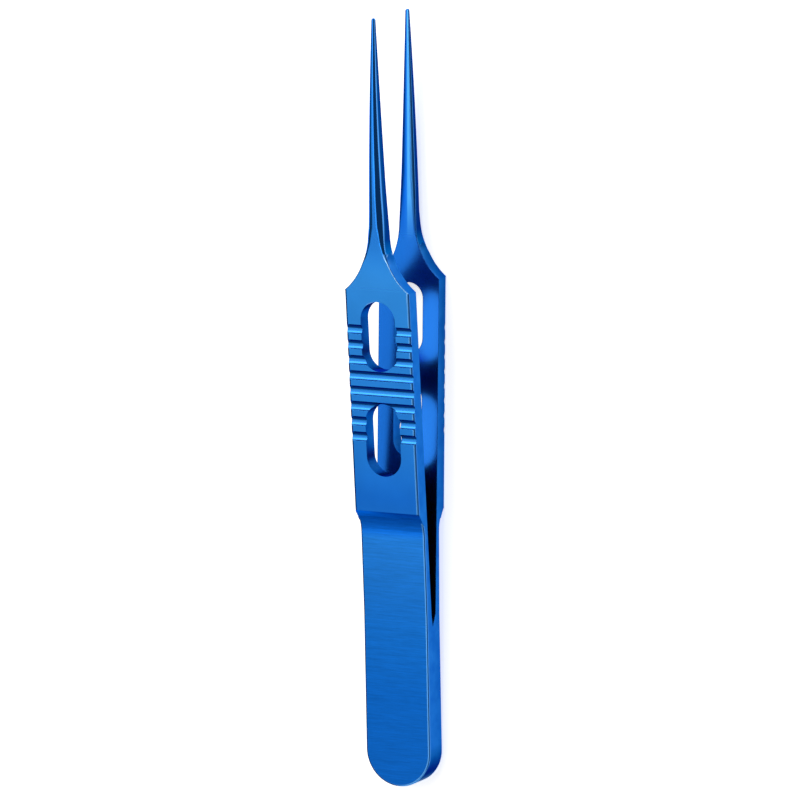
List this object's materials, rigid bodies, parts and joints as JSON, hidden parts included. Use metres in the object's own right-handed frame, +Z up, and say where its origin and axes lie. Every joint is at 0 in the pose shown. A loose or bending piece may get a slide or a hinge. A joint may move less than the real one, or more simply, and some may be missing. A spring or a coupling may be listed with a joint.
{
  "type": "lens holding forceps",
  "caption": "Straight micro forceps with two spring arms, grooved grip plates with windows, round shanks and fine tips.",
  "frame": {"origin": "middle of the bounding box's underside, on the surface that the forceps lies on", "axes": "+Y from the tail towards the tips, +X across the forceps, +Z up; the forceps lies on its lower arm's outer face and on the edge of its tail, so that its middle plane rises 3 degrees towards the tips"},
  "size_m": [0.01, 0.1082, 0.0128],
  "materials": {
    "anodised_titanium": "blue anodised titanium: satin grips, brushed leaves, polished shanks"
  },
  "bodies": {
    "tail": {"tail": "anodised_titanium"},
    "upper_arm": {"upper_arm": "anodised_titanium"},
    "lower_arm": {"lower_arm": "anodised_titanium"}
  },
  "joints": [
    {"name": "upper_arm_closes", "type": "hinge", "parent": "tail", "child": "upper_arm", "pos_m": [0, -0.02967, 0.00379], "axis": [-1, 0, 0], "range_deg": [0, 3.22], "stiffness_Nm_per_rad": 0.5},
    {"name": "lower_arm_closes", "type": "hinge", "parent": "tail", "child": "lower_arm", "pos_m": [0, -0.02961, 0.00254], "axis": [1, 0, 0], "range_deg": [0, 3.22], "stiffness_Nm_per_rad": 0.5}
  ]
}
